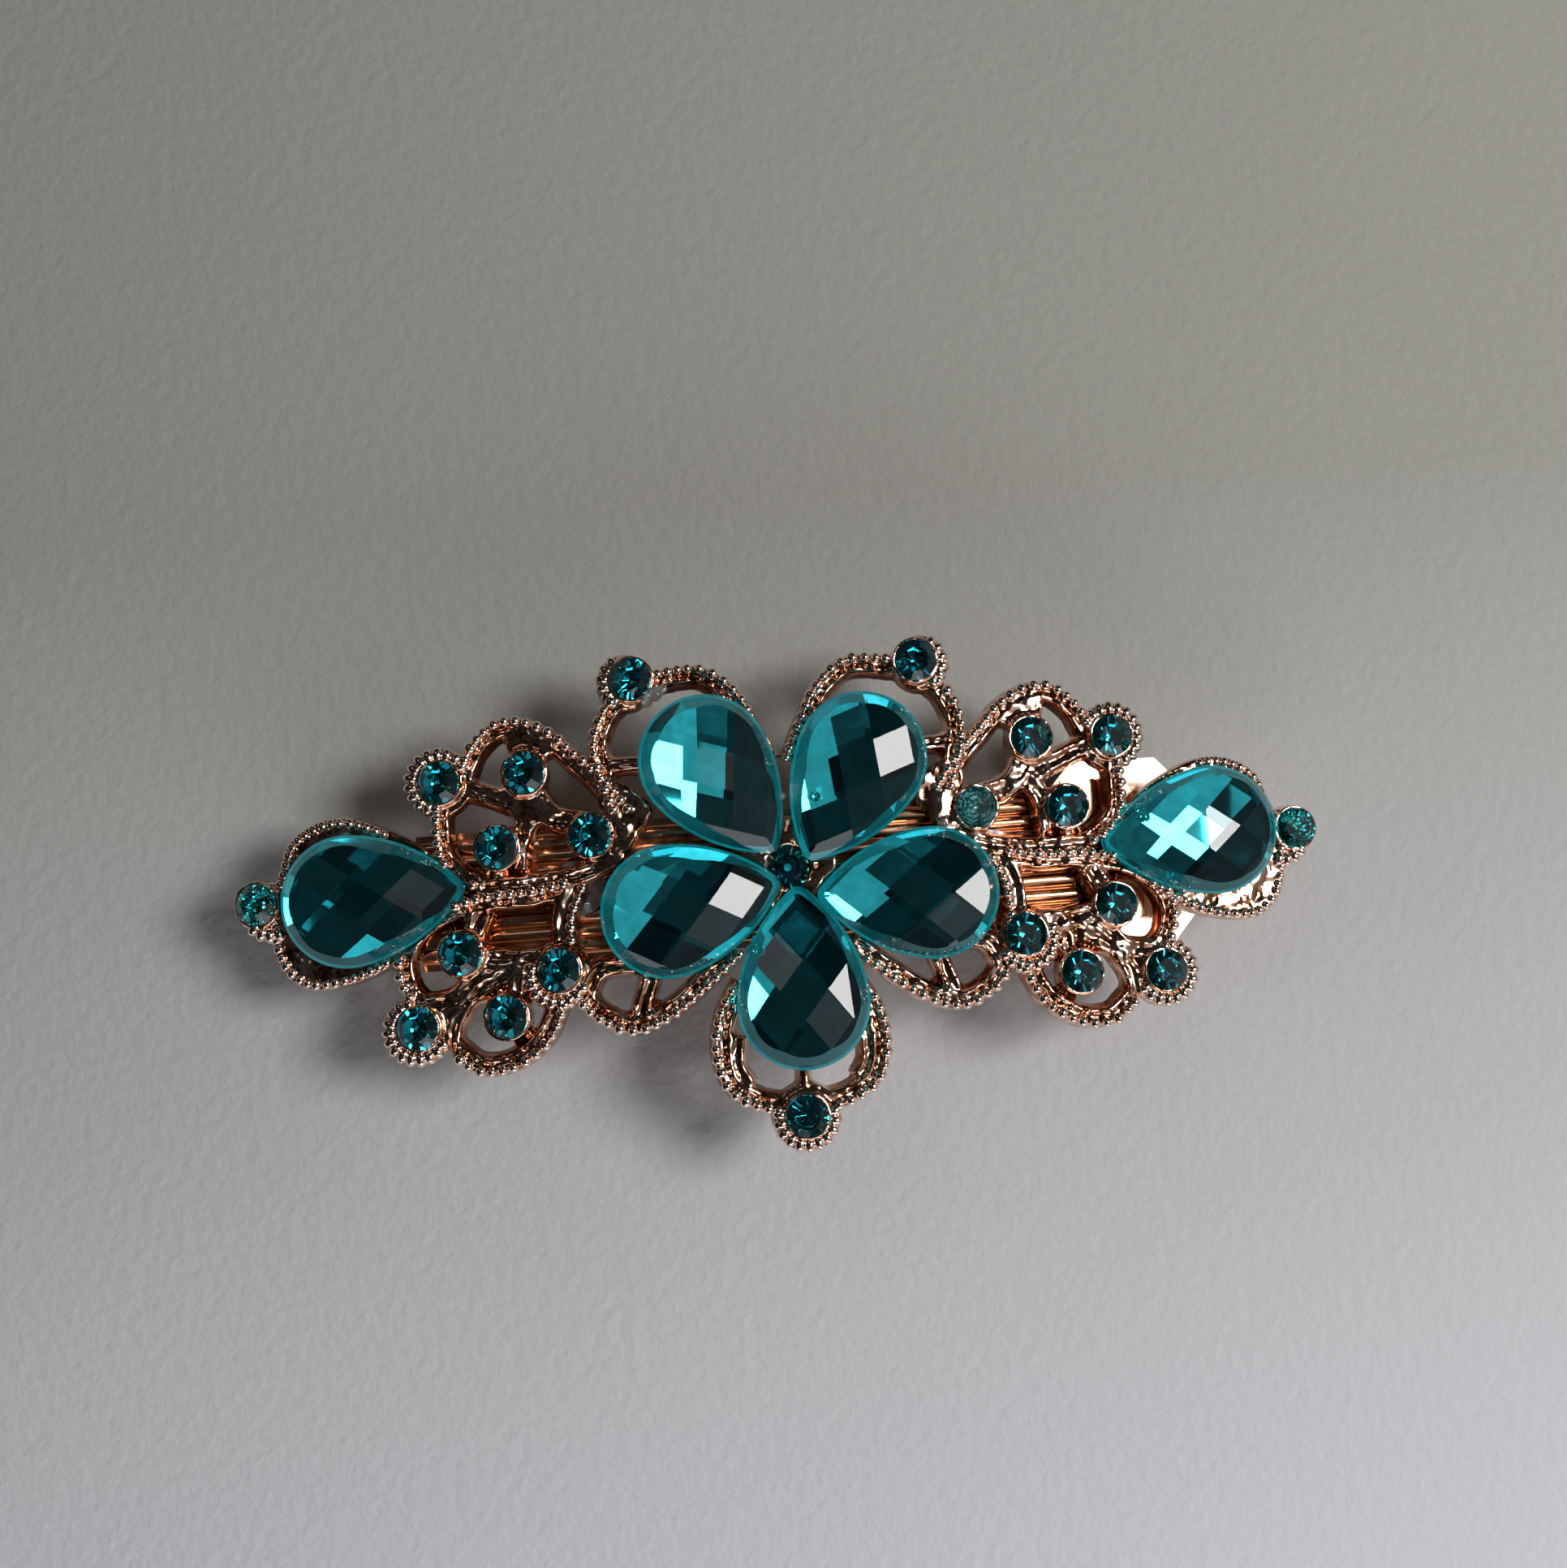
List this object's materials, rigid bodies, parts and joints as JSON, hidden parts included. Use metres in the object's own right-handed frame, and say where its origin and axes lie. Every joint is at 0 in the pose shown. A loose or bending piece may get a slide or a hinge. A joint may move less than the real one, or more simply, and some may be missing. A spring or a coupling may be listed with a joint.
{
  "type": "hair clip",
  "caption": "Spring hair clip with an arched openwork flower ornament set with teal pear gems and round stones, over ribbed sprung jaws.",
  "frame": {"origin": "bottom centre of the closed clip's bounding box, on the surface that it rests on", "axes": "+X along the clip towards the hinge and thumb lever, +Y towards the two upper petals, +Z out of the ornament's face"},
  "size_m": [0.0878, 0.0401, 0.0157],
  "materials": {
    "rose_gold_cast": "polished rose-gold plating over a cast, pebbled texture",
    "copper_plate": "fluted sheet, rose-gold plated",
    "pale_rose_gold": "smooth pale plating",
    "spring_steel": "bright drawn wire",
    "solder": "dull solder",
    "teal_acrylic": "clear facetted acrylic over foil",
    "teal_glass": "foiled cut glass"
  },
  "bodies": {
    "ornament": {"end_gem_left": "teal_acrylic", "end_gem_right": "teal_acrylic", "filigree_frame": "rose_gold_cast", "hinge_pin": "pale_rose_gold", "petal_gem_bottom": "teal_acrylic", "petal_gem_left": "teal_acrylic", "petal_gem_right": "teal_acrylic", "petal_gem_upper_left": "teal_acrylic", "petal_gem_upper_right": "teal_acrylic", "solder_pad_centre": "solder", "solder_pad_left": "solder", "solder_pad_right": "solder", "stone_bottom": "teal_glass", "stone_centre": "teal_glass", "stone_left_crown": "teal_glass", "stone_left_lower_leaf_eye": "teal_glass", "stone_left_lower_leaf_foot": "teal_glass", "stone_left_lower_leaf_root": "teal_glass", "stone_left_lower_leaf_shell": "teal_glass", "stone_left_tip": "teal_glass", "stone_left_upper_leaf_eye": "teal_glass", "stone_left_upper_leaf_foot": "teal_glass", "stone_left_upper_leaf_root": "teal_glass", "stone_left_upper_leaf_shell": "teal_glass", "stone_right_crown": "teal_glass", "stone_right_lower_leaf_eye": "teal_glass", "stone_right_lower_leaf_foot": "teal_glass", "stone_right_lower_leaf_root": "teal_glass", "stone_right_lower_leaf_shell": "teal_glass", "stone_right_tip": "teal_glass", "stone_right_upper_leaf_eye": "teal_glass", "stone_right_upper_leaf_foot": "teal_glass", "stone_right_upper_leaf_root": "teal_glass", "stone_right_upper_leaf_shell": "teal_glass", "torsion_spring": "spring_steel", "upper_jaw": "copper_plate"},
    "lower_jaw": {"lower_jaw": "pale_rose_gold"}
  },
  "joints": [
    {"name": "jaw_hinge", "type": "hinge", "parent": "ornament", "child": "lower_jaw", "pos_m": [0.0266, 0.0015, 0.0049], "axis": [0, -1, 0], "range_deg": [0, 32], "stiffness_Nm_per_rad": 0.03, "springref_deg": -20.05, "deforming": ["torsion_spring"]}
  ]
}
